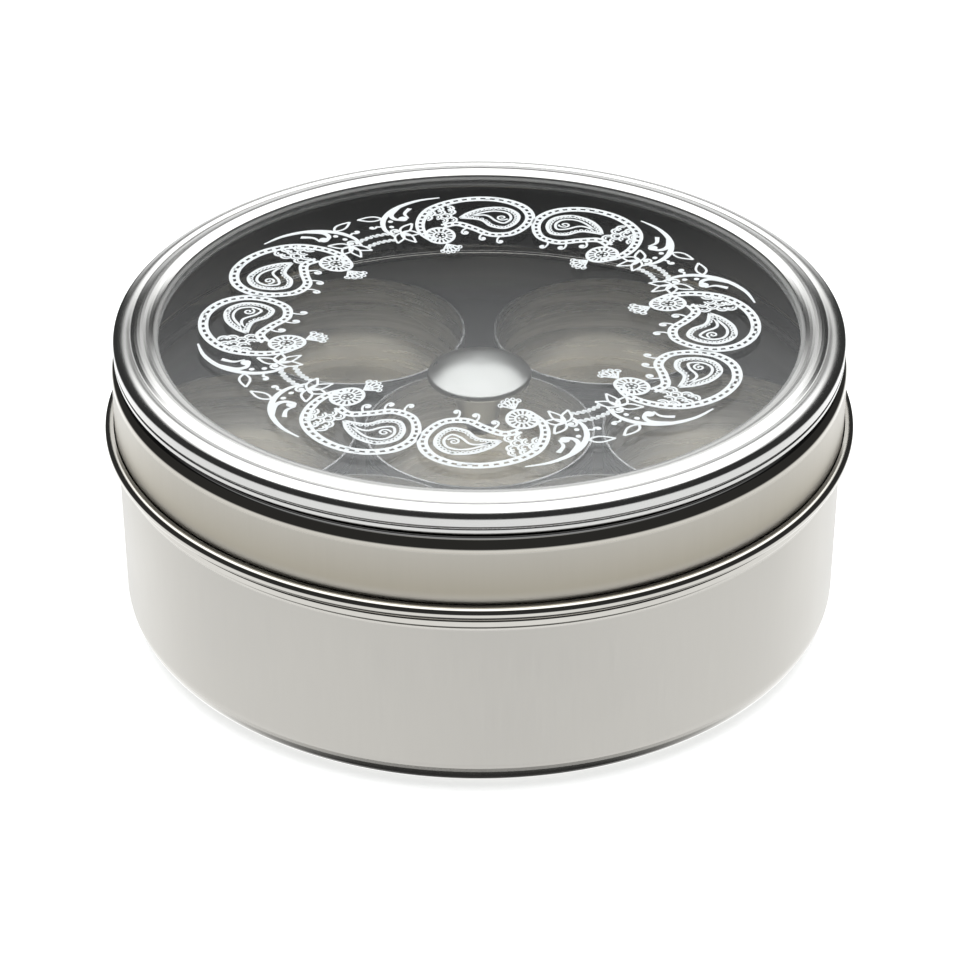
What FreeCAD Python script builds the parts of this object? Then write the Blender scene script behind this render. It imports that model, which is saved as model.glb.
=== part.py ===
"""Seven-cup spice box: a steel case, a slip-on lid with a glass window, and a clear inner lid over the cups.

Every piece is spun or turned, so each is a profile in the XZ plane revolved about Z. Sheet-metal pieces are
a path along one face of the sheet, thickened by the sheet's gauge. Origin: centre of the case's underside.
"""

import FreeCAD, Part
import math
import os
import Sketcher

from FreeCAD import Placement, Rotation, Vector

DIMENSIONS = {
    # case
    "case_gauge": 0.6,
    "case_radius": 105.3,
    "case_draft": 0.6,
    "case_corner": 9.5,
    "stop_bottom": 54.8,
    "stop_height": 3.7,
    "stop_reach": 1.0,
    "stop_lower_rise": 0.6,
    "stop_upper_rise": 0.9,
    "stop_rounding": 0.8,
    "stop_fillet": 0.4,
    "neck_radius": 104.7,
    "neck_top": 62.9,
    # lid skirt, with a rolled bead at its mouth and a shoulder under the window
    "lid_radius": 105.8,
    "bead_radius": 108.65,
    "bead_bottom": 58.7,
    "bead_height": 3.8,
    "bead_corner": 1.7,
    "bead_gap": 0.35,
    "mouth_rounding": 1.2,
    "shoulder_top": 83.3,
    "shoulder_corner": 4.1,
    "shoulder_neck": 101.0,
    "shoulder_fillet": 0.7,
    "flange_fillet": 0.3,
    "weld_flange_radius": 97.5,
    # ring that the glass sits in, and the bezel over it
    "seat_bottom": 84.4,
    "seat_gauge": 0.6,
    "seat_bore": 92.8,
    "seat_hem_radius": 104.9,
    "seat_hem_width": 1.5,
    "seat_hem_bottom": 83.4,
    "seat_hem_top": 85.7,
    "seat_hem_fillet": 0.3,
    "seat_hem_lower_rounding": 1.1,
    "seat_hem_upper_rounding": 0.55,
    "bezel_gauge": 0.6,
    "bezel_radius": 105.0,
    "bezel_bore": 93.4,
    "bezel_hem": 1.4,
    "bezel_hem_rounding": 0.75,
    "bezel_outer_edge": 89.45,
    "bezel_outer_rounding": 2.4,
    "bezel_outer_middle": 102.3,
    "bezel_outer_peak": 91.75,
    "bezel_outer_crown": 3.9,
    "bezel_crease_radius": 99.9,
    "bezel_crease": 90.78,
    "bezel_crease_rounding": 0.25,
    "bezel_inner_middle": 96.7,
    "bezel_inner_peak": 92.46,
    "bezel_inner_crown": 6.3,
    "bezel_tip_gap": 0.6,
    # window
    "glass_radius": 98.6,
    "glass_thickness": 4.0,
    "glass_edge": 0.5,
    "gasket_lip": 0.6,
    "gasket_back": 1.0,
    "gasket_bore": 92.1,
    "gasket_rounding": 0.3,
    # cups, six round one, pushed together so that the ring has one wider gap
    "cup_gauge": 0.6,
    "cup_rim_radius": 33.7,
    "cup_draft": 1.8,
    "cup_corner": 8.0,
    "cup_height": 52.1,
    "cup_clearance": 0.3,
    "cup_ring_radius": 69.6,
    "cup_ring_gap": 66.5,
    "cup_centre_shift": 1.0,
    # inner lid and its knob
    "disc_clearance": 0.2,
    "disc_thickness": 2.4,
    "disc_radius": 101.5,
    "disc_edge": 0.8,
    "disc_hole": 2.2,
    "washer_thickness": 0.8,
    "washer_radius": 5.8,
    "washer_rounding": 0.3,
    "foot_radius": 5.5,
    "foot_rounding": 0.5,
    "neck_upper_radius": 9.2,
    "neck_cone_height": 12.8,
    "neck_rounding": 1.0,
    "neck_collar_height": 1.2,
    "neck_collar_rounding": 0.5,
    "boss_radius": 2.6,
    "boss_gap": 0.1,
    "knob_radius": 15.1,
    "knob_crown_flat": 8.0,
    "knob_crown_rounding": 26.0,
    "knob_edge_rounding": 1.2,
    "knob_lip_rounding": 0.9,
    "knob_crown_drop": 4.0,
    "knob_side": 1.8,
    "knob_gauge": 0.7,
    "knob_curl": 2.0,
    "screw_radius": 1.95,
    "thread_radius": 2.0,
    "screw_reach": 7.0,
    "screw_tip_rounding": 0.5,
    "thread_spare": 1.0,
    "screw_head_radius": 3.7,
    "screw_head_height": 2.3,
    "screw_head_rounding": 1.4,
    "slot_length": 8.9,
    "screw_slot_width": 1.1,
    "screw_slot_depth": 1.0,
}

DERIVED = {
    "floor_top": "=case_gauge",
    "cup_floor": "=floor_top + cup_clearance",
    "cup_rim": "=cup_floor + cup_height",
    "disc_bottom": "=cup_rim + disc_clearance",
    "disc_top": "=disc_bottom + disc_thickness",
    "foot_bottom": "=disc_top + washer_thickness",
    "cone_top": "=foot_bottom + neck_cone_height",
    "knob_top": "=cone_top + knob_side + knob_crown_drop - knob_gauge",
    "bead_top": "=bead_bottom + bead_height",
    "seat_top": "=seat_bottom + seat_gauge",
    "glass_bottom": "=seat_top + gasket_lip",
    "glass_top": "=glass_bottom + glass_thickness",
    "gasket_top": "=glass_top + gasket_lip",
    "gasket_radius": "=glass_radius + gasket_back",
}

SHEET = "Dimensions"
UPRIGHT = Placement(Vector(0, 0, 0), Rotation(Vector(1, 0, 0), 90))
SKETCH_ORIGIN = (-1, 1)
NEARLY_ZERO = 1e-9
RING_CUPS = 6


def make_sheet(document):
    """Fill the spreadsheet that drives every size."""
    sheet = document.addObject("Spreadsheet::Sheet", SHEET)
    entries = {name: str(value) for name, value in DIMENSIONS.items()}
    entries.update(DERIVED)
    for row, (name, content) in enumerate(entries.items(), start=1):
        sheet.set(f"A{row}", name)
        sheet.set(f"B{row}", content)
        sheet.setAlias(f"B{row}", name)
    document.recompute()
    return sheet


def bound(expression):
    """Write an expression over the sheet's aliases the way another object has to name them."""
    aliases = DIMENSIONS.keys() | DERIVED.keys()
    return " ".join(f"{SHEET}.{word}" if word in aliases else word for word in expression.split())


class Outline:
    """A path of straight runs with rounded corners, every corner's place and rounding bound to the sheet."""

    def __init__(self, sketch, corners, closed):
        self.sketch = sketch
        self.corners = corners
        self.closed = closed
        self.points = [Vector(self.value(radius), self.value(height), 0) for radius, height, _ in corners]
        self.draw()

    def value(self, expression):
        result = self.sketch.evalExpression(bound(expression))
        return float(getattr(result, "Value", result))

    def constrain(self, *arguments):
        return self.sketch.addConstraint(Sketcher.Constraint(*arguments))

    def drive(self, kind, arguments, expression):
        """Add one dimension and bind it, keeping its value above zero as the solver wants."""
        index = self.constrain(kind, *arguments, self.value(expression))
        self.sketch.setExpression(f"Constraints[{index}]", bound(expression))

    def place_corner(self, point, radius, height):
        """Bind a construction point to its radius and height."""
        geometry = self.sketch.addGeometry(Part.Point(point), True)
        for axis, expression in (("X", radius), ("Y", height)):
            if abs(self.value(expression)) < NEARLY_ZERO:
                on_axis = -2 if axis == "X" else -1
                self.constrain("PointOnObject", geometry, 1, on_axis)
            else:
                self.drive(f"Distance{axis}", (*SKETCH_ORIGIN, geometry, 1), expression)
        return geometry

    def tangent_points(self, index):
        """Where a corner's rounding leaves the run before it and joins the run after it."""
        here = self.points[index]
        before = self.points[index - 1]
        after = self.points[(index + 1) % len(self.points)]
        back = (before - here).normalize()
        onward = (after - here).normalize()
        half_angle = back.getAngle(onward) / 2
        reach = self.value(self.corners[index][2]) / math.tan(half_angle)
        middle = here + (back + onward).normalize() * (reach / math.cos(half_angle))
        radius = reach * math.tan(half_angle)
        on_arc = middle + (here - middle).normalize() * radius
        return here + back * reach, on_arc, here + onward * reach

    def draw(self):
        count = len(self.corners)
        marks = [self.place_corner(self.points[i], *self.corners[i][:2]) for i in range(count)]
        rounded = [corner[2] is not None for corner in self.corners]
        runs = count if self.closed else count - 1
        lines = []
        for i in range(runs):
            j = (i + 1) % count
            start = self.tangent_points(i)[2] if rounded[i] else self.points[i]
            end = self.tangent_points(j)[0] if rounded[j] else self.points[j]
            line = self.sketch.addGeometry(Part.LineSegment(start, end), False)
            lines.append(line)
            for corner, end_of_line in ((i, 1), (j, 2)):
                if rounded[corner]:
                    self.constrain("PointOnObject", marks[corner], 1, line)
                else:
                    self.constrain("Coincident", line, end_of_line, marks[corner], 1)
        for i in range(count):
            if rounded[i]:
                self.round_corner(i, lines[i - 1], lines[i])

    def round_corner(self, index, line_in, line_out):
        start, on_arc, end = self.tangent_points(index)
        curve = Part.Arc(start, on_arc, end)
        arc = self.sketch.addGeometry(curve, False)
        arc_start = self.sketch.getPoint(arc, 1)
        forward = arc_start.distanceToPoint(start) < arc_start.distanceToPoint(end)
        first, last = (1, 2) if forward else (2, 1)
        self.constrain("Tangent", line_in, 2, arc, first)
        self.constrain("Tangent", line_out, 1, arc, last)
        self.drive("Radius", (arc,), self.corners[index][2])


def name_object(item, label):
    item.Label = label
    return item


def spun_sheet(document, label, path, gauge, inward=True):
    """A sheet-metal piece: the path lies on one face of the sheet, the gauge is added on the other side."""
    sketch = document.addObject("Sketcher::SketchObject", f"{label}_path")
    sketch.Placement = UPRIGHT
    Outline(sketch, path, closed=False)
    document.recompute()
    section = document.addObject("Part::Offset2D", f"{label}_section")
    section.Source = sketch
    section.Mode = "Skin"
    section.Join = "Intersection"
    section.Fill = True
    section.setExpression("Value", bound(gauge if inward else f"-1 * {gauge}"))
    document.recompute()
    piece = document.addObject("Part::Revolution", f"{label}_revolution")
    piece.Source = section
    piece.Axis = Vector(0, 0, 1)
    piece.Base = Vector(0, 0, 0)
    piece.Angle = 360
    piece.Solid = True
    return name_object(piece, label)


def turned_body(document, label, outline):
    """A solid turned piece: a PartDesign body with one closed profile revolved about Z."""
    body = document.addObject("PartDesign::Body", f"{label}_body")
    sketch = body.newObject("Sketcher::SketchObject", f"{label}_profile")
    plane = next(item for item in body.Origin.OriginFeatures if item.Role == "XZ_Plane")
    sketch.AttachmentSupport = [(plane, "")]
    sketch.MapMode = "FlatFace"
    document.recompute()
    Outline(sketch, outline, closed=True)
    document.recompute()
    revolution = body.newObject("PartDesign::Revolution", f"{label}_revolution")
    revolution.Profile = sketch
    revolution.ReferenceAxis = (sketch, ["V_Axis"])
    revolution.Angle = 360
    body.Tip = revolution
    return name_object(body, label)


def make_case(document):
    """The case: a flat-bottomed pan with a swaged stop bead below the neck that the lid slips over."""
    return spun_sheet(
        document,
        "base_box",
        [
            ("0", "0", None),
            ("case_radius - case_draft", "0", "case_corner"),
            ("case_radius", "stop_bottom", "stop_fillet"),
            ("case_radius + stop_reach", "stop_bottom + stop_lower_rise", "stop_rounding"),
            ("case_radius + stop_reach", "stop_bottom + stop_height - stop_upper_rise", "stop_rounding"),
            ("neck_radius", "stop_bottom + stop_height", "stop_fillet"),
            ("neck_radius", "neck_top", None),
        ],
        "case_gauge",
    )


def make_lid_skirt(document):
    """The lid's wall: mouth rolled outward into a hollow bead, shoulder, short neck and a weld flange."""
    return spun_sheet(
        document,
        "lid_skirt",
        [
            ("lid_radius + bead_gap", "bead_top", None),
            ("bead_radius", "bead_top", "bead_corner"),
            ("bead_radius", "bead_bottom", "bead_corner"),
            ("lid_radius - case_gauge", "bead_bottom", "mouth_rounding"),
            ("lid_radius - case_gauge", "shoulder_top - case_gauge", "shoulder_corner - case_gauge"),
            ("shoulder_neck - case_gauge", "shoulder_top - case_gauge", "shoulder_fillet"),
            ("shoulder_neck - case_gauge", "seat_bottom - case_gauge", "flange_fillet"),
            ("weld_flange_radius", "seat_bottom - case_gauge", None),
        ],
        "case_gauge",
        inward=False,
    )


def make_seat_ring(document):
    """The ring under the glass: a flat ledge with a hemmed rim that shows as a thin lip under the bezel."""
    return turned_body(
        document,
        "glass_seat_ring",
        [
            ("seat_bore", "seat_bottom", None),
            ("seat_hem_radius - seat_hem_width", "seat_bottom", None),
            ("seat_hem_radius - seat_hem_width", "seat_hem_bottom", "seat_hem_fillet"),
            ("seat_hem_radius", "seat_hem_bottom", "seat_hem_lower_rounding"),
            ("seat_hem_radius", "seat_hem_top", "seat_hem_upper_rounding"),
            ("seat_hem_radius - seat_hem_width", "seat_hem_top", None),
            ("seat_hem_radius - seat_hem_width", "seat_top", None),
            ("seat_bore", "seat_top", None),
        ],
    )


def make_bezel(document):
    """The bezel: two soft rolls that meet in a crease, an upright side and a hem turned in below."""
    return spun_sheet(
        document,
        "lid_bezel",
        [
            ("bezel_radius - bezel_hem", "seat_hem_top", None),
            ("bezel_radius", "seat_hem_top", "bezel_hem_rounding"),
            ("bezel_radius", "bezel_outer_edge", "bezel_outer_rounding"),
            ("bezel_outer_middle", "bezel_outer_peak", "bezel_outer_crown"),
            ("bezel_crease_radius", "bezel_crease", "bezel_crease_rounding"),
            ("bezel_inner_middle", "bezel_inner_peak", "bezel_inner_crown"),
            ("bezel_bore", "gasket_top + bezel_tip_gap", None),
        ],
        "bezel_gauge",
        inward=True,
    )


def make_window(document):
    """The glass and the clear channel seal that wraps its edge."""
    turned_body(
        document,
        "glass_disc",
        [
            ("0", "glass_bottom", None),
            ("glass_radius", "glass_bottom", "glass_edge"),
            ("glass_radius", "glass_top", "glass_edge"),
            ("0", "glass_top", None),
        ],
    )
    turned_body(
        document,
        "glass_gasket",
        [
            ("gasket_bore", "seat_top", None),
            ("gasket_radius", "seat_top", None),
            ("gasket_radius", "gasket_top", None),
            ("gasket_bore", "gasket_top", "gasket_rounding"),
            ("gasket_bore", "glass_top", None),
            ("glass_radius", "glass_top", None),
            ("glass_radius", "glass_bottom", None),
            ("gasket_bore", "glass_bottom", None),
        ],
    )


def make_cup(document, label, place_x, place_y):
    """One cup, standing on the case's floor at its own place; with no place_x it stays on the YZ plane."""
    cup = spun_sheet(
        document,
        label,
        [
            ("0", "0", None),
            ("cup_rim_radius - cup_draft", "0", "cup_corner"),
            ("cup_rim_radius", "cup_height", None),
        ],
        "cup_gauge",
    )
    if place_x:
        cup.setExpression("Placement.Base.x", bound(place_x))
    cup.setExpression("Placement.Base.y", bound(place_y))
    cup.setExpression("Placement.Base.z", bound("cup_floor"))
    return cup


def make_cups(document):
    """The centre cup and the ring of six, evenly pitched over what the wider gap leaves."""
    make_cup(document, "spice_cup_centre", None, "-1 * cup_centre_shift")
    for index in range(RING_CUPS):
        turn = f"( 90 + cup_ring_gap / 2 + {index} * ( 360 - cup_ring_gap ) / {RING_CUPS - 1} )"
        across = f"cup_ring_radius * cos( {turn} * 1deg )"
        along = f"cup_ring_radius * sin( {turn} * 1deg )"
        make_cup(document, f"spice_cup_{index + 1}", across, along)


def make_inner_lid(document):
    """The clear disc that lies on the cups' rims."""
    turned_body(
        document,
        "inner_lid_disc",
        [
            ("disc_hole", "disc_bottom", None),
            ("disc_radius", "disc_bottom", "disc_edge"),
            ("disc_radius", "disc_top", "disc_edge"),
            ("disc_hole", "disc_top", None),
        ],
    )


def make_knob(document):
    """The knob: a pressed cap on a turned cone, with its washer and the screw that holds it to the disc."""
    spun_sheet(
        document,
        "knob_cap",
        [
            ("0", "knob_top + knob_gauge", None),
            ("knob_crown_flat", "knob_top + knob_gauge", "knob_crown_rounding"),
            ("knob_radius", "knob_top + knob_gauge - knob_crown_drop", "knob_edge_rounding"),
            ("knob_radius", "cone_top", "knob_lip_rounding"),
            ("knob_radius - knob_curl", "cone_top", None),
        ],
        "knob_gauge",
        inward=False,
    )
    turned_body(
        document,
        "knob_neck",
        [
            ("thread_radius", "foot_bottom", None),
            ("foot_radius", "foot_bottom", "foot_rounding"),
            ("neck_upper_radius", "cone_top", "neck_rounding"),
            ("neck_upper_radius", "cone_top + neck_collar_height", "neck_collar_rounding"),
            ("boss_radius", "cone_top + neck_collar_height", None),
            ("boss_radius", "knob_top - boss_gap", None),
            ("0", "knob_top - boss_gap", None),
            ("0", "foot_bottom + screw_reach + thread_spare", None),
            ("thread_radius", "foot_bottom + screw_reach + thread_spare", None),
        ],
    )
    turned_body(
        document,
        "knob_washer",
        [
            ("disc_hole", "disc_top", None),
            ("washer_radius", "disc_top", None),
            ("washer_radius", "foot_bottom", "washer_rounding"),
            ("disc_hole", "foot_bottom", None),
        ],
    )
    blank = turned_body(
        document,
        "knob_screw_blank",
        [
            ("0", "disc_bottom - screw_head_height", None),
            ("screw_head_radius", "disc_bottom - screw_head_height", "screw_head_rounding"),
            ("screw_head_radius", "disc_bottom", None),
            ("screw_radius", "disc_bottom", None),
            ("screw_radius", "foot_bottom + screw_reach", "screw_tip_rounding"),
            ("0", "foot_bottom + screw_reach", None),
        ],
    )
    slot = document.addObject("Part::Box", "knob_screw_slot")
    slot.setExpression("Length", bound("slot_length"))
    slot.setExpression("Width", bound("screw_slot_width"))
    slot.setExpression("Height", bound("screw_slot_depth"))
    slot.setExpression("Placement.Base.x", bound("-0.5 * slot_length"))
    slot.setExpression("Placement.Base.y", bound("-0.5 * screw_slot_width"))
    slot.setExpression("Placement.Base.z", bound("disc_bottom - screw_head_height"))
    screw = document.addObject("Part::Cut", "knob_screw_cut")
    screw.Base = blank
    screw.Tool = slot
    name_object(screw, "knob_screw")


NODES = [
    "base_box",
    "lid_skirt",
    "glass_seat_ring",
    "lid_bezel",
    "glass_disc",
    "glass_gasket",
    "spice_cup_centre",
    *[f"spice_cup_{index + 1}" for index in range(RING_CUPS)],
    "inner_lid_disc",
    "knob_cap",
    "knob_neck",
    "knob_washer",
    "knob_screw",
]


def check_document(document):
    """Stop if any object failed to recompute or any sub-part's shape is unsound."""
    for item in document.Objects:
        if "Invalid" in item.State or "Error" in item.State:
            raise RuntimeError(f"{item.Label} failed: {item.State}")
    for label in NODES:
        shape = document.getObjectsByLabel(label)[0].Shape
        if shape.isNull() or not shape.isValid() or len(shape.Solids) != 1 or shape.Volume <= 0:
            raise RuntimeError(f"{label} has an unsound shape")


def main():
    document = FreeCAD.newDocument("spice_box")
    make_sheet(document)
    make_case(document)
    make_lid_skirt(document)
    make_seat_ring(document)
    make_bezel(document)
    make_window(document)
    make_cups(document)
    make_inner_lid(document)
    make_knob(document)
    document.recompute()
    check_document(document)
    os.makedirs("parts", exist_ok=True)
    for label in NODES:
        shape = document.getObjectsByLabel(label)[0].Shape
        shape.exportStep(f"parts/{label}.step")
        box = shape.BoundBox
        print(f"{label:18s} z {box.ZMin:6.2f} to {box.ZMax:6.2f}  volume {shape.Volume:9.1f}")


main()
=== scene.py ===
"""Looks of the steel spice box: satin and polished steel, printed window glass, clear acrylic inner lid."""

import math

import bmesh
import bpy
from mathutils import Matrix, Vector


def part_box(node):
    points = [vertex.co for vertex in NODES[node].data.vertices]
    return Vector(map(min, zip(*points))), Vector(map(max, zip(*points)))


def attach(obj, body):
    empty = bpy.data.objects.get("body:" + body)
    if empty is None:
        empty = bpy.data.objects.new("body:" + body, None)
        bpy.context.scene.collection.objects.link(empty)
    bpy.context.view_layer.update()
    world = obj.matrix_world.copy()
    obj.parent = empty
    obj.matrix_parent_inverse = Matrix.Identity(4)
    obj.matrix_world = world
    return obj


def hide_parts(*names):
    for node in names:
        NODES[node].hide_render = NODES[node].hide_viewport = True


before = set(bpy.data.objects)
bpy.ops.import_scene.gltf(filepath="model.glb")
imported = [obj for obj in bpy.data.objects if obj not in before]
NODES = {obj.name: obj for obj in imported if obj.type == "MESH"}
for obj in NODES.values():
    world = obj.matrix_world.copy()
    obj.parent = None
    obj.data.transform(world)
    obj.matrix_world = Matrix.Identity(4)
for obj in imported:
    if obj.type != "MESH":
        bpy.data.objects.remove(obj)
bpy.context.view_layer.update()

CUP_PREFIX = "spice_cup_"

# The camera: angle above the table, degrees; distance and height of the point it looks at, metres; lens, mm.
CAMERA_PITCH = 31.28
CAMERA_DISTANCE = 1.018
CAMERA_TARGET_HEIGHT = 0.0376
CAMERA_LENS = 129.4
CAMERA_SENSOR = 36.0
CAMERA_SHIFT = (0.0007, -0.0022)

# The studio's lights: angles in degrees from each light's own axis, or for the table below the horizon.
# A tilt leans an axis from straight up to the back. The two ranges are cosines: to the back, and to straight up.
SOFTBOX_TILT = 14.5
SOFTBOX_EDGE = 49.8
SOFTBOX_FULL = 39.5
SOFTBOX_LIGHT = 2.2
TABLE_EDGE = 15.5
TABLE_FULL = 26.5
TABLE_LIGHT = 1.08
TABLE_BEHIND = 0.3
TABLE_BEHIND_RANGE = (0.1, 0.9)
UNDER_BOX_RANGE = (-0.95, -0.72)
BACKDROP_TILT = 88.0
BACKDROP_EDGE = 24.0
BACKDROP_FULL = 14.0
BACKDROP_LIGHT = 1.0
STUDIO_DARK = 0.04
STUDIO_TINT = (0.985, 0.995, 1.0, 1.0)
FLOOR_RADIUS = 6.0
FLOOR_SIDES = 96
FLOOR_GAP = 0.0001

# The finish of the sheet steel, by height and radius in metres. A band is: starts, full, starts to end, gone.
CASE_SATIN = (0.002, 0.009, 0.0537, 0.0545)
LID_SATIN = (0.0622, 0.063, 0.0780, 0.0795)
# Painted shade on the lid's wall: heights where it comes in, heights where it fades, and the share left at the
# top.
LID_SHADE_STARTS = (0.0615, 0.0660)
LID_SHADE_ENDS = (0.0670, 0.0790)
LID_SHADE_LEFT = 0.35
INSIDE_CASE_RADIUS = (0.1045, 0.1046)
INSIDE_CASE_HEIGHT = (0.010, 0.011)
INSIDE_LID_RADIUS = (0.1054, 0.1055)
INSIDE_LID_BAND = (0.0632, 0.0636, 0.0785, 0.0790)
# Painted shade: the dark colour given to the insides of the case and the lid.
INSIDE_PAINTED_SHADE = (0.11, 0.11, 0.108)
POLISH = 0.05

# Turned pieces: distances in metres, area in square metres, angle in degrees.
MERGE_DISTANCE = 1e-6
STRAIGHT_AREA = 5e-10
LONG_RUN = 0.0006
SUPPORT_GAP = 0.00004
SHARP_ANGLE = 38


# ---------------------------------------------------------------- node helpers
class Tree:
    """A node tree, with short calls for the nodes used here."""

    def __init__(self, node_tree):
        self.nodes = node_tree.nodes
        self.links = node_tree.links

    def add(self, kind, inputs=(), **settings):
        """A new node with its settings and its first inputs."""
        node = self.nodes.new(kind)
        for name, value in settings.items():
            setattr(node, name, value)
        for index, value in enumerate(inputs):
            self.feed(node.inputs[index], value)
        return node

    def feed(self, socket, value):
        """Link a socket to an output, or set it to a plain value."""
        if isinstance(value, bpy.types.NodeSocket):
            self.links.new(value, socket)
        else:
            socket.default_value = value

    def maths(self, operation, *inputs):
        return self.add("ShaderNodeMath", inputs, operation=operation).outputs[0]

    def plus(self, one, two):
        return self.maths("ADD", one, two)

    def times(self, one, two):
        return self.maths("MULTIPLY", one, two)

    def spread(self, value, low, high, new_low, new_high, curve="LINEAR"):
        """Carry the range from low to high over to a new range, and clamp it there."""
        node = self.add("ShaderNodeMapRange", interpolation_type=curve)
        ends = {"From Min": low, "From Max": high, "To Min": new_low, "To Max": new_high}
        for name, number in ends.items():
            node.inputs[name].default_value = number
        self.links.new(value, node.inputs["Value"])
        return node.outputs["Result"]

    def rise(self, value, start, full):
        return self.spread(value, start, full, 0.0, 1.0)

    def fall(self, value, start, gone):
        return self.spread(value, start, gone, 1.0, 0.0)

    def band(self, value, starts, full, ends, gone):
        """1 between full and ends, and 0 before starts and after gone."""
        return self.times(self.rise(value, starts, full), self.fall(value, ends, gone))


class Material(Tree):
    """A new material's node tree round its Principled shader."""

    def __init__(self, name, metallic=0.0):
        self.material = bpy.data.materials.new(name)
        self.material.use_nodes = True
        super().__init__(self.material.node_tree)
        self.shader = self.nodes["Principled BSDF"]
        self.set("Metallic", metallic)

    def set(self, name, value):
        """Set or link an input of the shader."""
        self.feed(self.shader.inputs[name], value)

    def place(self):
        """The point's place on the object, in metres."""
        return self.add("ShaderNodeTexCoord").outputs["Object"]

    def around(self, centre=(0.0, 0.0)):
        """Where a point is about an upright axis: angle, height and radius.

        The angle runs from 0 to pi on both sides, so that a pattern has no seam where it would wrap.
        """
        parts = self.add("ShaderNodeSeparateXYZ", [self.place()])
        across = self.maths("SUBTRACT", parts.outputs[0], centre[0])
        along = self.maths("SUBTRACT", parts.outputs[1], centre[1])
        angle = self.maths("ABSOLUTE", self.maths("ARCTAN2", along, across))
        radius = self.maths("SQRT", self.plus(self.times(across, across), self.times(along, along)))
        return angle, parts.outputs[2], radius

    def noise(self, vector, scale, detail, roughness=0.5):
        node = self.add("ShaderNodeTexNoise")
        self.feed(node.inputs["Vector"], vector)
        node.inputs["Scale"].default_value = scale
        node.inputs["Detail"].default_value = detail
        node.inputs["Roughness"].default_value = roughness
        return node.outputs["Fac"]

    def drawn_noise(self, values, scales, detail, roughness=0.5):
        """Noise drawn out into strokes: each coordinate has its own scale."""
        scaled = [self.times(value, scale) for value, scale in zip(values, scales)]
        vector = self.add("ShaderNodeCombineXYZ", scaled).outputs[0]
        return self.noise(vector, 1.0, detail, roughness)

    def blend(self, factor, one, two):
        """From one colour to the other; each is three numbers or another node's output."""
        node = self.add("ShaderNodeMix", data_type="RGBA")
        self.feed(node.inputs[0], factor)
        for socket, colour in ((node.inputs[6], one), (node.inputs[7], two)):
            self.feed(socket, (*colour, 1.0) if isinstance(colour, tuple) else colour)
        return node.outputs[2]

    def bump(self, height, strength, distance):
        node = self.add("ShaderNodeBump")
        node.inputs["Strength"].default_value = strength
        node.inputs["Distance"].default_value = distance
        self.links.new(height, node.inputs["Height"])
        self.set("Normal", node.outputs["Normal"])


# ---------------------------------------------------------------- materials
def satin_steel(name):
    """Case and lid wall: satin, brushed finely upright, polished near edges; painted shade on the lid wall and
    inside.
    """
    look = Material(name, metallic=1.0)
    angle, height, radius = look.around()
    grain = look.drawn_noise((angle, height), (260.0, 60.0), 3.0)
    streaks = look.drawn_noise((angle, height), (26.0, 9.0), 4.0)
    clouds = look.noise(look.place(), 22.0, 4.0)
    mottle = look.plus(look.times(streaks, 0.25), look.times(clouds, 0.75))
    worn = look.rise(mottle, 0.35, 0.65)
    case_tone = look.blend(worn, (0.585, 0.565, 0.525), (0.625, 0.605, 0.565))
    # Painted shade: the lid's wall in a darker, warmer copy of the case's steel, strongest just above its rim.
    lid_painted_shade = look.blend(worn, (0.425, 0.392, 0.325), (0.485, 0.45, 0.375))
    lid_shade_starts = look.rise(height, *LID_SHADE_STARTS)
    lid_shade_ends = look.spread(height, *LID_SHADE_ENDS, 1.0, LID_SHADE_LEFT)
    in_case = look.times(look.fall(radius, *INSIDE_CASE_RADIUS), look.rise(height, *INSIDE_CASE_HEIGHT))
    in_lid = look.times(look.fall(radius, *INSIDE_LID_RADIUS), look.band(height, *INSIDE_LID_BAND))
    outside = look.blend(look.times(lid_shade_starts, lid_shade_ends), case_tone, lid_painted_shade)
    # The insides of the case and the lid take the dark painted shade.
    look.set("Base Color", look.blend(look.maths("MAXIMUM", in_case, in_lid), outside, INSIDE_PAINTED_SHADE))
    satin = look.plus(look.band(height, *CASE_SATIN), look.band(height, *LID_SATIN))
    uneven = look.spread(look.plus(mottle, look.times(grain, 0.3)), 0.4, 0.8, 0.24, 0.32)
    look.set("Roughness", look.plus(look.times(satin, uneven), POLISH))
    look.bump(look.times(grain, satin), 0.12, 0.00006)
    return look.material


def polished_steel(name, tone, roughness):
    """Bezel and knob: buffed steel, with faint rings left by the buffing wheel."""
    look = Material(name, metallic=1.0)
    rings = look.drawn_noise(look.around(), (2.0, 900.0, 900.0), 2.0)
    haze = look.noise(look.place(), 40.0, 3.0)
    look.set("Base Color", look.blend(haze, tuple(0.97 * part for part in tone), tone))
    uneven = look.plus(haze, look.times(rings, 0.5))
    look.set("Roughness", look.spread(uneven, 0.5, 1.0, roughness, roughness + 0.05))
    look.bump(rings, 0.05, 0.00003)
    return look.material


def cup_steel(name, centre):
    """Cups: satin steel with spinning rings; warm painted light low down, painted shade grey towards the rim."""
    look = Material(name, metallic=1.0)
    angle, height, radius = look.around(centre)
    rings = look.drawn_noise((angle, height, radius), (1.3, 700.0, 700.0), 4.0)
    bands = look.rise(look.drawn_noise((angle, height, radius), (0.5, 260.0, 260.0), 4.0, 0.7), 0.38, 0.62)
    # Painted light on the floor and low wall of each cup, painted shade towards its rim.
    shade_towards_rim = look.rise(look.plus(height, look.times(bands, 0.012)), 0.014, 0.040)
    painted_light_low = look.blend(bands, (0.82, 0.77, 0.66), (1.0, 0.95, 0.85))
    painted_shade_at_rim = look.blend(bands, (0.30, 0.30, 0.30), (0.58, 0.575, 0.57))
    look.set("Base Color", look.blend(shade_towards_rim, painted_light_low, painted_shade_at_rim))
    look.set("Roughness", look.spread(bands, 0.0, 1.0, 0.22, 0.34))
    look.set("Anisotropic", 0.85)
    look.set("Tangent", look.add("ShaderNodeTangent", direction_type="RADIAL", axis="Z").outputs[0])
    look.bump(rings, 0.15, 0.00005)
    return look.material


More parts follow.
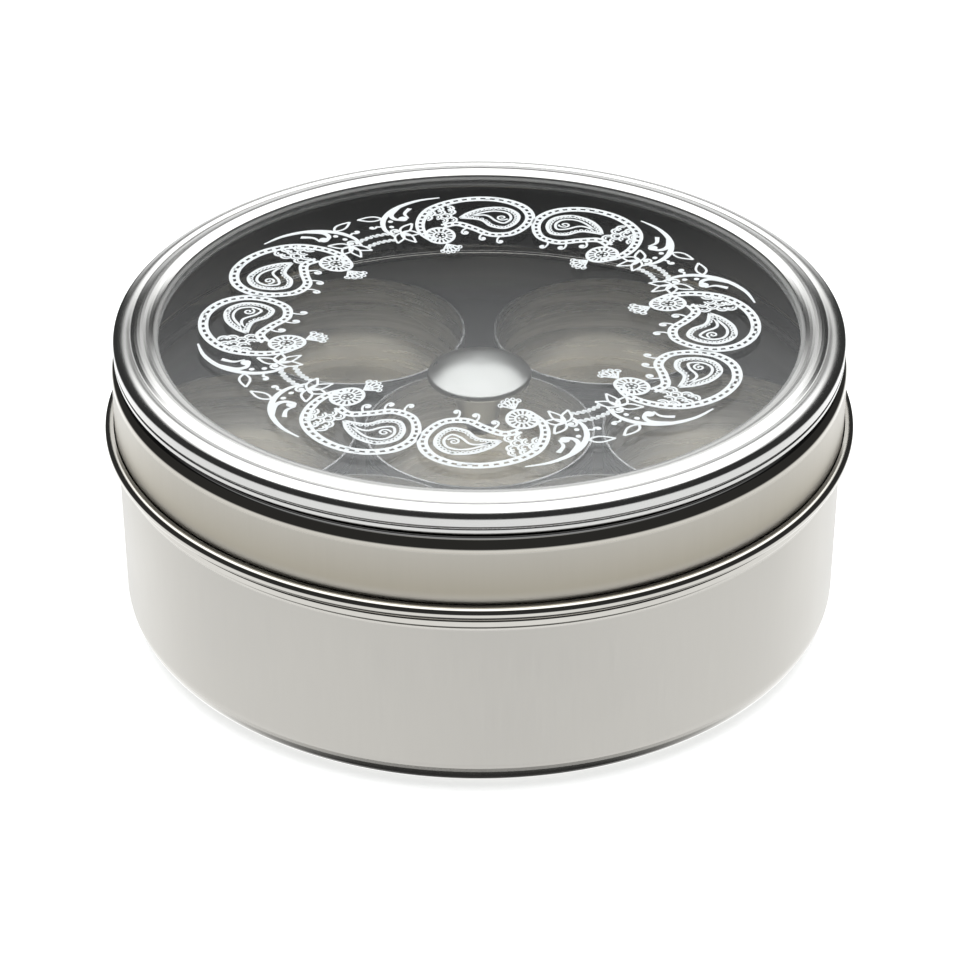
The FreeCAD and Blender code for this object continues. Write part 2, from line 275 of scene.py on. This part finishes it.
def clear_glass(name):
    """The window's glass, with the faintest haze."""
    look = Material(name)
    haze = look.noise(look.place(), 30.0, 2.0)
    look.set("Base Color", look.blend(haze, (0.9573, 0.9672, 0.9722), (0.965, 0.975, 0.98)))
    look.set("Roughness", look.spread(haze, 0.3, 0.7, 0.0, 0.004))
    look.set("Transmission Weight", 1.0)
    look.set("IOR", 1.5)
    return look.material


def clear_plastic(name, tone, alpha):
    """The inner lid, which shows little of itself, and the milky seal round the glass."""
    look = Material(name)
    haze = look.noise(look.place(), 30.0, 2.0)
    look.set("Base Color", look.blend(haze, tuple(0.94 * part for part in tone), tone))
    look.set("Roughness", 0.12)
    look.set("Alpha", alpha)
    return look.material


def white_enamel(name):
    """The printed border: fired white enamel, faintly uneven."""
    look = Material(name)
    grain = look.noise(look.place(), 900.0, 3.0)
    look.set("Base Color", look.blend(grain, (0.84, 0.88, 0.89), (0.90, 0.93, 0.935)))
    look.set("Roughness", 0.35)
    look.bump(grain, 0.1, 0.00002)
    return look.material


def floor_paint(name):
    """The plain pale floor, lit a little from within so that it stays white to the horizon."""
    look = Material(name)
    haze = look.noise(look.place(), 3.0, 2.0)
    look.set("Base Color", look.blend(haze, (0.90, 0.905, 0.90), (0.92, 0.925, 0.92)))
    look.set("Roughness", 0.9)
    look.set("Emission Color", (0.99, 1.0, 0.995, 1.0))
    look.set("Emission Strength", 0.65)
    return look.material


# ---------------------------------------------------------------- pieces
def on_circle(centre, radius, turn):
    """The point on a circle at an angle in radians."""
    return centre[0] + radius * math.cos(turn), centre[1] + radius * math.sin(turn)


def put_in(name, vertices, faces, material, body):
    """A new piece that rides on a body, with its faces turned outward."""
    mesh = bpy.data.meshes.new(name)
    mesh.from_pydata(vertices, [], faces)
    shape = bmesh.new()
    shape.from_mesh(mesh)
    bmesh.ops.recalc_face_normals(shape, faces=shape.faces)
    shape.to_mesh(mesh)
    shape.free()
    mesh.materials.append(material)
    piece = bpy.data.objects.new(name, mesh)
    bpy.context.scene.collection.objects.link(piece)
    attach(piece, body)
    return piece


def paint(node, material):
    """Give a CAD node that keeps its own mesh a material."""
    mesh = NODES[node].data
    mesh.materials.clear()
    mesh.materials.append(material)


def middle_of(node):
    """The upright axis of a turned node: the middle of its box, seen from above."""
    low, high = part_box(node)
    return (low[0] + high[0]) / 2, (low[1] + high[1]) / 2


def cross_section(node, centre):
    """The chain of (radius, height) points where the half plane towards +X cuts a turned CAD node."""
    work = bmesh.new()
    work.from_mesh(NODES[node].data)
    bmesh.ops.translate(work, verts=work.verts, vec=(-centre[0], -centre[1], 0.0))
    bmesh.ops.remove_doubles(work, verts=work.verts, dist=MERGE_DISTANCE)
    for normal, clear_outer in (((1, 0, 0), False), ((0, 1, 0), True)):
        bmesh.ops.bisect_plane(
            work, geom=[*work.verts, *work.edges, *work.faces], dist=MERGE_DISTANCE,
            plane_co=(0, 0, 0), plane_no=normal, clear_inner=True, clear_outer=clear_outer,
        )
    bmesh.ops.remove_doubles(work, verts=work.verts, dist=MERGE_DISTANCE)
    links = {}
    for edge in work.edges:
        ends = [vertex for vertex in edge.verts if vertex.co.x > -MERGE_DISTANCE]
        if len(ends) == 2:
            links.setdefault(ends[0], set()).add(ends[1])
            links.setdefault(ends[1], set()).add(ends[0])
    loose = [vertex for vertex, others in links.items() if len(others) == 1]
    chain = [loose[0] if loose else next(iter(links))]
    while True:
        onward = [other for other in links[chain[-1]] if other not in chain[-2:] and other not in chain[:1]]
        if not onward:
            break
        chain.append(onward[0])
    points = [(abs(v.co.x) if abs(v.co.x) > MERGE_DISTANCE else 0.0, v.co.z) for v in chain]
    work.free()
    return without_straight_points(points, closed=not loose)


def without_straight_points(points, closed):
    """Drop points that lie on the straight run between their neighbours."""
    kept = []
    for i, here in enumerate(points):
        if not closed and i in (0, len(points) - 1):
            kept.append(here)
            continue
        before = points[i - 1]
        after = points[(i + 1) % len(points)]
        area = (here[0] - before[0]) * (after[1] - before[1]) - (here[1] - before[1]) * (after[0] - before[0])
        if abs(area) > STRAIGHT_AREA:
            kept.append(here)
    return kept


def with_supports(section, closed):
    """Add a point close to each end of every straight run, so that smooth shading keeps flat faces flat."""
    supported = []
    count = len(section)
    for i, here in enumerate(section):
        supported.append(here)
        if i == count - 1 and not closed:
            break
        after = section[(i + 1) % count]
        length = math.dist(here, after)
        if length > LONG_RUN:
            for share in (SUPPORT_GAP / length, 1 - SUPPORT_GAP / length):
                supported.append(tuple(a + share * (b - a) for a, b in zip(here, after)))
    return supported


def spin(section, closed, centre, segments):
    """Vertices and faces of a section of (radius, height) points turned about an upright axis."""
    rows = []
    vertices = []
    for radius, height in section:
        if radius == 0:
            rows.append([len(vertices)] * segments)
            vertices.append((centre[0], centre[1], height))
            continue
        rows.append(range(len(vertices), len(vertices) + segments))
        for step in range(segments):
            vertices.append((*on_circle(centre, radius, 2 * math.pi * step / segments), height))
    pairs = list(zip(rows, rows[1:]))
    if closed:
        pairs.append((rows[-1], rows[0]))
    faces = []
    for one, two in pairs:
        for step in range(segments):
            after = (step + 1) % segments
            corners = list(dict.fromkeys((one[step], one[after], two[after], two[step])))
            if len(corners) > 2:
                faces.append(corners)
    return vertices, faces


def turned_again(node, material, body, segments):
    """Spin a turned node's own section again in fine even steps, so that polished faces reflect smoothly."""
    centre = middle_of(node)
    section = cross_section(node, centre)
    closed = all(radius > 0 for radius, _ in section)
    vertices, faces = spin(with_supports(section, closed), closed, centre, segments)
    piece = put_in(node + "_turned", vertices, faces, material, body)
    piece.data.shade_smooth()
    piece.data.set_sharp_from_angle(angle=math.radians(SHARP_ANGLE))
    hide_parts(node)
    return piece


# ---------------------------------------------------------------- printed border
# A stroke is a path and half its width at each point. Strokes are drawn in millimetres: u runs along the ring
# from where two paisleys touch, and v outward from the ring's middle.
MM = 0.001
COPIES = 8
BORDER_RADIUS = 66.3
BORDER_START = -14.3
MIRROR_LINE = BORDER_RADIUS * math.pi / 4
STROKE_WEIGHT = 1.12
THINNEST_END = 0.02

# Heights above the glass in metres. Strokes lie in layers, so that none shares a plane with one it crosses.
PRINT_FOOT = 4e-6
PRINT_TOP = 30e-6
LAYER_STEP = 2e-6
LAYERS = 24


def smooth_path(points, steps=8):
    """A curve through the points (Catmull-Rom)."""
    curve = []
    for i in range(len(points) - 1):
        b, c = points[i], points[i + 1]
        a = points[i - 1] if i > 0 else (2 * b[0] - c[0], 2 * b[1] - c[1])
        d = points[i + 2] if i + 2 < len(points) else (2 * c[0] - b[0], 2 * c[1] - b[1])
        for step in range(steps):
            t = step / steps
            curve.append(tuple(
                0.5 * (2 * b[k] + (c[k] - a[k]) * t + (2 * a[k] - 5 * b[k] + 4 * c[k] - d[k]) * t * t
                       + (3 * b[k] - a[k] - 3 * c[k] + d[k]) * t ** 3)
                for k in range(2)))
    curve.append(points[-1])
    return curve


def path_lengths(path):
    """Distance along a path to each of its points."""
    lengths = [0.0]
    for one, two in zip(path, path[1:]):
        lengths.append(lengths[-1] + math.dist(one, two))
    return lengths


def walk(path, spacing):
    """Points evenly spaced along a path, each with the unit direction there."""
    lengths = path_lengths(path)
    count = max(1, round(lengths[-1] / spacing))
    found = []
    i = 0
    for step in range(count):
        goal = (step + 0.5) * lengths[-1] / count
        while lengths[i + 1] < goal:
            i += 1
        span = lengths[i + 1] - lengths[i]
        along = tuple((path[i + 1][k] - path[i][k]) / span for k in range(2))
        found.append((tuple(path[i][k] + (goal - lengths[i]) * along[k] for k in range(2)), along))
    return found


def beside(path, offsets):
    """The path moved sideways by the offset of each point, to the left of its direction."""
    moved = []
    for i, here in enumerate(path):
        before = path[max(i - 1, 0)]
        after = path[min(i + 1, len(path) - 1)]
        reach = offsets[i] / math.dist(before, after)
        moved.append((here[0] - (after[1] - before[1]) * reach, here[1] + (after[0] - before[0]) * reach))
    return moved


def even(path, width):
    """A stroke of one width."""
    return path, [width / 2] * len(path)


def tapered(path, start, middle, end):
    """A stroke whose width goes from start through middle to end."""
    bulge = 2 * middle - (start + end) / 2
    lengths = path_lengths(path)
    half_widths = []
    for length in lengths:
        t = length / lengths[-1]
        half_widths.append(((1 - t) * (1 - t) * start + 2 * t * (1 - t) * bulge + t * t * end) / 2)
    return path, half_widths


def dot(centre, radius, sides=10):
    """A round dot, as a short stroke across itself."""
    path = []
    half_widths = []
    for i in range(sides + 1):
        turn = math.pi * i / sides
        path.append((centre[0] - radius * math.cos(turn), centre[1]))
        half_widths.append(max(radius * math.sin(turn), THINNEST_END))
    return path, half_widths


def ring(centre, radius, width, start=0.0, sweep=360.0, steps=32):
    """An arc or a whole circle; angles in degrees."""
    turns = [math.radians(start + sweep * i / steps) for i in range(steps + 1)]
    return even([on_circle(centre, radius, turn) for turn in turns], width)


def spiral(centre, outer, inner, start, turns, width):
    """A spiral from outer to inner radius, starting at an angle in degrees and thinning a little."""
    steps = max(12, int(abs(turns) * 28))
    path = []
    for i in range(steps + 1):
        t = i / steps
        radius = outer + (inner - outer) * t ** 0.85
        path.append(on_circle(centre, radius, math.radians(start) + 2 * math.pi * turns * t))
    return tapered(path, width, width, width * 0.8)


def leaf(base, tip, half_width, width, steps=10):
    """A pointed leaf in outline, from base to tip."""
    span = math.dist(base, tip)
    along = ((tip[0] - base[0]) / span, (tip[1] - base[1]) / span)
    strokes = []
    for side in (1, -1):
        path = []
        for i in range(steps + 1):
            t = i / steps
            swell = side * half_width * math.sin(math.pi * t ** 0.8) ** 1.1 if 0 < t < 1 else 0.0
            path.append((base[0] + along[0] * span * t - along[1] * swell,
                         base[1] + along[1] * span * t + along[0] * swell))
        strokes.append(even(path, width))
    return strokes


def beaded_band(path, gap, line, spacing, bar):
    """Two lines with short bars across between them, which leaves a row of dark dashes."""
    apart = (gap + line) / 2
    strokes = [even(beside(path, [side * apart] * len(path)), line) for side in (1, -1)]
    reach = gap * 0.75
    for here, along in walk(path, spacing):
        strokes.append(even([(here[0] + along[1] * reach, here[1] - along[0] * reach),
                             (here[0] - along[1] * reach, here[1] + along[0] * reach)], bar))
    return strokes


def hook(foot, centre, radius, start, turns, width):
    """A stem that ends in a small spiral, with a dot at its eye."""
    joint = on_circle(centre, radius, math.radians(start))
    bend = ((foot[0] + joint[0]) / 2 + 0.25, (foot[1] + joint[1]) / 2)
    stem = even(smooth_path([foot, bend, joint]), width)
    return [stem, spiral(centre, radius, 0.25, start, turns, width), dot(centre, 0.55)]


def rosette(centre, rays=15, seeds=5):
    """Two circles with rays between them and a round of dots in the middle."""
    strokes = [ring(centre, 5.0, 1.0), ring(centre, 2.3, 0.7)]
    for k in range(rays):
        turn = 2 * math.pi * k / rays
        strokes.append(([on_circle(centre, 2.4, turn), on_circle(centre, 4.8, turn)], [0.22, 0.5]))
    for k in range(seeds):
        strokes.append(dot(on_circle(centre, 1.2, 2 * math.pi * k / seeds), 0.45))
    return strokes


def heart():
    """The paisley's drop-shaped heart: a scalloped outline, a line inside it and a spiral."""
    edge = smooth_path([
        (22.4, 0.4), (16.2, -1.2), (12.8, -5.2), (8.0, -6.2), (5.0, -2.2), (5.2, 3.2), (9.2, 7.0),
        (14.8, 6.6), (19.6, 3.6), (22.4, 0.4)])
    core = smooth_path([
        (19.6, 1.4), (14.6, 1.9), (11.4, -1.6), (8.6, -2.8), (7.0, 0.4), (8.6, 4.0), (13.2, 4.7),
        (19.6, 1.4)])
    strokes = [even(edge, 0.9)]
    for here, along in walk(edge, 1.45):
        strokes.append(ring((here[0] + along[1] * 0.75, here[1] - along[0] * 0.75), 0.5, 0.4, steps=8))
    return [*strokes, even(core, 0.75), spiral((9.7, 0.7), 1.9, 0.2, 200, 1.4, 0.6)]


def scales():
    """Rows of small double arches, like fish scales."""
    strokes = []
    for left, height, count in ((25.2, -0.6, 2), (26.6, 2.0, 3), (25.2, 4.6, 3), (25.4, 7.0, 2)):
        for k in range(count):
            middle = (left + 2.9 * k, height)
            strokes.append(ring(middle, 1.75, 0.65, 90, 180, 12))
            strokes.append(ring(middle, 0.85, 0.5, 90, 180, 8))
    return strokes


def fan(foot, blades=5):
    """Short rays with a small ring on each, and an arc across them."""
    strokes = []
    for k in range(blades):
        tip = on_circle(foot, 5.4, math.radians(-104 + 24 * (k - blades // 2)))
        strokes.append(([foot, tip], [0.25, 0.42]))
        strokes.append(ring(tip, 0.85, 0.5, steps=12))
    strokes.append(ring(foot, 2.9, 0.6, -158, 108, 12))
    return strokes


def paisley():
    """One curled paisley: beaded outline, rosette at its tip, heart, scales, three hooks and a fan."""
    outline = smooth_path([
        (28.6, -4.4), (23.6, -3.4), (18.6, -6.6), (12.6, -10.6), (5.6, -9.6), (1.9, -4.0), (1.6, 2.8),
        (5.4, 9.2), (12.6, 12.8), (21.6, 12.2), (29.8, 7.6), (34.6, 0.0), (36.0, -7.6), (33.6, -13.4)])
    strokes = beaded_band(outline, 0.95, 0.95, 2.4, 1.0)
    strokes += rosette((30.6, -10.4))
    strokes += heart()
    strokes += scales()
    for foot, centre in (
        ((9.2, -12.0), (8.4, -15.0)), ((15.4, -10.4), (15.2, -13.4)), ((21.0, -6.6), (21.4, -9.4)),
    ):
        strokes += hook(foot, centre, 1.35, 20, -1.15, 0.7)
    strokes += fan((29.4, -16.0))
    return strokes


def vine():
    """Half of the vine between two pairs of paisleys, up to the line it is mirrored in."""
    stem = smooth_path([(26.6, 14.6), (33.0, 13.6), (39.6, 10.2), (44.6, 4.6), (46.6, -1.4), (45.8, -6.6)])
    strokes = [
        tapered(stem, 0.5, 1.5, 0.8),
        tapered(smooth_path([(35.4, 9.4), (37.6, 6.4), (37.4, 3.2)]), 1.2, 0.9, 0.4),
        tapered(smooth_path([(37.4, 11.4), (41.2, 7.2), (41.4, 4.2), (39.6, 2.6)]), 0.5, 1.2, 1.0),
        dot((39.0, 3.4), 1.35),
        dot((44.0, -0.4), 0.75),
        dot((43.0, 3.0), 0.75),
    ]
    strokes += leaf((44.6, 5.8), (50.9, 8.4), 1.5, 0.65)
    strokes += hook((46.4, 0.8), (49.4, 1.8), 1.3, 180, 0.8, 0.7)
    for tip in ((37.4, -0.4), (37.0, -7.6), (40.4, -12.6), (46.8, -11.0)):
        strokes += leaf((42.6, -5.2), tip, 1.55, 0.7)
    strokes.append(spiral((44.0, -3.6), 1.8, 0.3, -60, 1.3, 0.7))
    strokes.append(dot((44.0, -3.6), 0.6))
    strokes += [wavy_line(-8.6), wavy_line(-4.2)]
    return strokes


def wavy_line(height, start=46.2, slope=0.12, depth=0.5, wavelength=1.95, steps=24):
    """A rippled line that climbs a little on its way to the mirror line."""
    wave = []
    for i in range(steps + 1):
        u = start + (MIRROR_LINE - start) * i / steps
        ripple = depth * math.cos(2 * math.pi * (u - MIRROR_LINE) / wavelength)
        wave.append((u, height + slope * (u - start) + ripple))
    return even(wave, 1.0)


def make_border(material):
    """Print the border on the glass: eight copies of the motif, each the mirror image of its neighbours."""
    glass_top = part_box("glass_disc")[1][2]
    vertices = []
    faces = []
    strokes = paisley() + vine()
    for copy in range(COPIES):
        side = 1 if copy % 2 else -1
        start = math.radians(BORDER_START + 90 * (copy // 2))
        for index, (path, half_widths) in enumerate(strokes):
            top = glass_top + PRINT_TOP + LAYER_STEP * (index % LAYERS)
            first = len(vertices)
            left = beside(path, [STROKE_WEIGHT * half_width for half_width in half_widths])
            right = beside(path, [-STROKE_WEIGHT * half_width for half_width in half_widths])
            for pair in zip(left, right):
                for height in (top, glass_top + PRINT_FOOT):
                    for u, v in pair:
                        turn = start + side * u / BORDER_RADIUS
                        vertices.append((*on_circle((0.0, 0.0), (BORDER_RADIUS + v) * MM, turn), height))
            last = first + 4 * (len(path) - 1)
            for here in range(first, last, 4):
                for a, b in ((0, 1), (1, 3), (3, 2), (2, 0)):
                    faces.append((here + a, here + b, here + 4 + b, here + 4 + a))
            faces += [(first + 1, first, first + 2, first + 3), (last, last + 1, last + 3, last + 2)]
    put_in("border_print", vertices, faces, material, "lid")


# ---------------------------------------------------------------- camera, floor, light
def make_camera():
    """A long lens, looking down at the box along +Y."""
    pitch = math.radians(CAMERA_PITCH)
    data = bpy.data.cameras.new("camera")
    data.lens = CAMERA_LENS
    data.sensor_width = CAMERA_SENSOR
    data.shift_x, data.shift_y = CAMERA_SHIFT
    data.clip_start = 0.05
    data.clip_end = 30.0
    camera = bpy.data.objects.new("camera", data)
    bpy.context.scene.collection.objects.link(camera)
    back = Vector((0.0, -math.cos(pitch), math.sin(pitch)))
    camera.location = Vector((0.0, 0.0, CAMERA_TARGET_HEIGHT)) + back * CAMERA_DISTANCE
    camera.rotation_mode = "QUATERNION"
    camera.rotation_quaternion = (-back).to_track_quat("-Z", "Y")
    bpy.context.scene.camera = camera


def make_floor():
    """A wide disc just under the box, which the steel doesn't mirror: it mirrors the studio's white table."""
    turns = [2 * math.pi * i / FLOOR_SIDES for i in range(FLOOR_SIDES)]
    mesh = bpy.data.meshes.new("floor")
    rim = [(*on_circle((0.0, 0.0), FLOOR_RADIUS, turn), 0.0) for turn in turns]
    mesh.from_pydata(rim, [], [list(range(FLOOR_SIDES))])
    mesh.materials.append(floor_paint("floor_paint"))
    floor = bpy.data.objects.new("floor", mesh)
    floor.location.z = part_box("base_box")[0][2] - FLOOR_GAP
    bpy.context.scene.collection.objects.link(floor)
    floor.visible_glossy = False


def cosine(degrees):
    return math.cos(math.radians(degrees))


def make_world():
    """A studio as directions: a broad overhead softbox leaning back, dark all round, a white table below."""
    world = bpy.data.worlds.new("studio")
    world.use_nodes = True
    bpy.context.scene.world = world
    tree = Tree(world.node_tree)
    direction = tree.add("ShaderNodeTexCoord").outputs["Generated"]

    def along(tilt_back):
        """How far a direction points along an axis that leans from straight up towards the back."""
        axis = (0.0, math.sin(math.radians(tilt_back)), cosine(tilt_back))
        return tree.add("ShaderNodeVectorMath", [direction, axis], operation="DOT_PRODUCT").outputs["Value"]

    def soft_step(tilt_back, edge, full, strength):
        """0 up to one cosine from an axis, rising softly to the strength at the other."""
        return tree.spread(along(tilt_back), edge, full, 0.0, strength, "SMOOTHSTEP")

    softbox = soft_step(SOFTBOX_TILT, cosine(SOFTBOX_EDGE), cosine(SOFTBOX_FULL), SOFTBOX_LIGHT)
    backdrop = soft_step(BACKDROP_TILT, cosine(BACKDROP_EDGE), cosine(BACKDROP_FULL), BACKDROP_LIGHT)
    below = soft_step(180.0, cosine(90.0 - TABLE_EDGE), cosine(90.0 - TABLE_FULL), TABLE_LIGHT)
    past_the_box = soft_step(0.0, *UNDER_BOX_RANGE, 1.0)
    brighter_behind = tree.plus(soft_step(90.0, *TABLE_BEHIND_RANGE, TABLE_BEHIND), 1.0)
    table = tree.times(tree.times(below, past_the_box), brighter_behind)
    light = tree.plus(tree.plus(softbox, backdrop), tree.plus(table, STUDIO_DARK))
    background = tree.nodes["Background"]
    background.inputs["Color"].default_value = STUDIO_TINT
    tree.feed(background.inputs["Strength"], light)


make_camera()
make_floor()
make_world()
bpy.context.scene.view_settings.view_transform = "Standard"

satin = satin_steel("satin_steel")
polished = polished_steel("polished_steel", (0.66, 0.655, 0.64), 0.15)
turned_again("base_box", satin, "base", 480)
turned_again("lid_skirt", satin, "lid", 480)
turned_again("lid_bezel", polished, "lid", 480)
turned_again("glass_seat_ring", polished, "lid", 480)

knob_steel = polished_steel("knob_steel", (0.47, 0.47, 0.455), 0.27)
turned_again("knob_cap", knob_steel, "inner_lid", 128)
turned_again("knob_neck", knob_steel, "inner_lid", 128)
paint("knob_screw", polished)

for cup in [node for node in NODES if node.startswith(CUP_PREFIX)]:
    which = cup.removeprefix(CUP_PREFIX)
    turned_again(cup, cup_steel("cup_steel_" + which, middle_of(cup)), "cup_" + which, 192)

window = turned_again("glass_disc", clear_glass("window_glass"), "lid", 360)
window.visible_shadow = False
make_border(white_enamel("white_enamel"))

seal = clear_plastic("clear_seal", (0.50, 0.50, 0.49), 0.5)
turned_again("glass_gasket", seal, "lid", 360)
paint("knob_washer", seal)
acrylic = clear_plastic("clear_acrylic", (0.90, 0.93, 0.95), 0.02)
turned_again("inner_lid_disc", acrylic, "inner_lid", 360)
